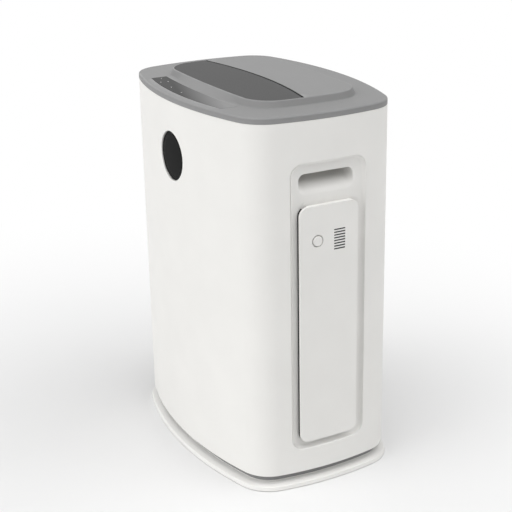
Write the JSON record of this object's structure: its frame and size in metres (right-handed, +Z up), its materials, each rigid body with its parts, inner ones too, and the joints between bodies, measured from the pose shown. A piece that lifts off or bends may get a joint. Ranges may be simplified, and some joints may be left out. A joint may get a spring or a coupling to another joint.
{
  "type": "oxygen concentrator",
  "caption": "Free-standing home oxygen concentrator: bowed white cabinet, grey top with a hinged lid and touch strip, round front window, side grips and a hinged filter door.",
  "frame": {"origin": "floor under the middle of the cabinet, at the underside of the rubber feet", "axes": "+Z up, -Y towards the front with the round window, +X towards the side with the filter door"},
  "size_m": [0.405, 0.281, 0.5385],
  "materials": {
    "white_abs": "fine satin moulding",
    "grey_abs": "fine satin moulding",
    "dark_grey_abs": "fine satin moulding",
    "black_acrylic": "polished",
    "black_rubber": "matte",
    "plated_steel": "bright zinc plate",
    "zinc_sheet": "galvanised sheet",
    "cast_aluminium": "as cast",
    "circuit_board": "solder mask",
    "black_nylon": "moulded",
    "filter_foam": "open-cell foam",
    "clear_polymer": "clear moulding",
    "brass": "turned",
    "copper_winding": "enamelled wire",
    "ferrite": "sintered"
  },
  "bodies": {
    "cabinet": {"base_plate": "white_abs", "rubber_feet": "black_rubber", "front_shell": "white_abs", "rear_cover": "white_abs", "top_cover": "grey_abs", "recess_floors": "white_abs", "case_screws": "plated_steel", "control_panel": "black_acrylic", "control_board": "circuit_board", "bay_tub": "grey_abs", "tray_wall": "grey_abs", "display_window": "black_acrylic", "display_board": "circuit_board", "door_hinge_brackets": "white_abs", "door_hinge_pins": "plated_steel", "magnet_keeper": "plated_steel", "filter_bay": "white_abs", "filter_frame": "grey_abs", "filter_foam": "filter_foam", "right_grip_cup": "white_abs", "left_vent_panel": "white_abs", "left_grip_cup": "white_abs", "compressor_mounts": "black_rubber", "compressor_housing": "cast_aluminium", "compressor_stator": "copper_winding", "compressor_heads": "cast_aluminium", "intake_hose": "black_rubber", "intake_silencer": "black_nylon", "aftercooler": "cast_aluminium", "valve_block": "cast_aluminium", "solenoid_coils": "black_nylon", "exhaust_muffler": "black_nylon", "sieve_beds": "cast_aluminium", "bed_end_caps": "black_nylon", "product_tank": "cast_aluminium", "pressure_regulator": "brass", "oxygen_sensor": "white_abs", "feed_tube": "clear_polymer", "humidifier_bottle": "clear_polymer", "bottle_cap": "white_abs", "outlet_nozzle": "white_abs", "mid_deck": "zinc_sheet", "deck_posts": "plated_steel", "fan_frame": "black_nylon", "main_board": "circuit_board", "board_bracket": "zinc_sheet", "run_capacitor": "cast_aluminium", "power_supply": "zinc_sheet", "power_inlet": "black_nylon", "rocker_frame": "black_nylon"},
    "lid": {"top_lid": "dark_grey_abs", "lid_hinge_pins": "plated_steel"},
    "door": {"side_door": "white_abs", "intake_screen": "black_nylon", "door_magnet": "ferrite", "latch_spring": "plated_steel"},
    "button": {"latch_button": "white_abs"},
    "rocker": {"rocker_switch": "black_nylon"},
    "fan": {"fan_rotor": "black_nylon"},
    "compressor_shaft": {"compressor_rotor": "plated_steel"}
  },
  "joints": [
    {"name": "lid_hinge", "type": "hinge", "parent": "cabinet", "child": "lid", "pos_m": [0, -0.0112, 0.5362], "axis": [-1, 0, 0], "range_deg": [0, 85]},
    {"name": "door_hinge", "type": "hinge", "parent": "cabinet", "child": "door", "pos_m": [0.1914, 0.042, 0.2365], "axis": [0, 0, 1], "range_deg": [0, 90]},
    {"name": "button_press", "type": "slide", "parent": "door", "child": "button", "axis": [-1, 0, 0], "range_m": [0, 0.0025], "stiffness_N_per_m": 800, "deforming": ["latch_spring"]},
    {"name": "rocker_tilt", "type": "hinge", "parent": "cabinet", "child": "rocker", "pos_m": [0.02, 0.12, 0.071], "axis": [1, 0, 0], "range_deg": [0, 14]},
    {"name": "fan_spin", "type": "hinge", "parent": "cabinet", "child": "fan", "pos_m": [0, 0, 0.2375], "axis": [0, 0, 1], "continuous": true},
    {"name": "compressor_spin", "type": "hinge", "parent": "cabinet", "child": "compressor_shaft", "pos_m": [0, 0, 0.105], "axis": [1, 0, 0], "continuous": true}
  ]
}
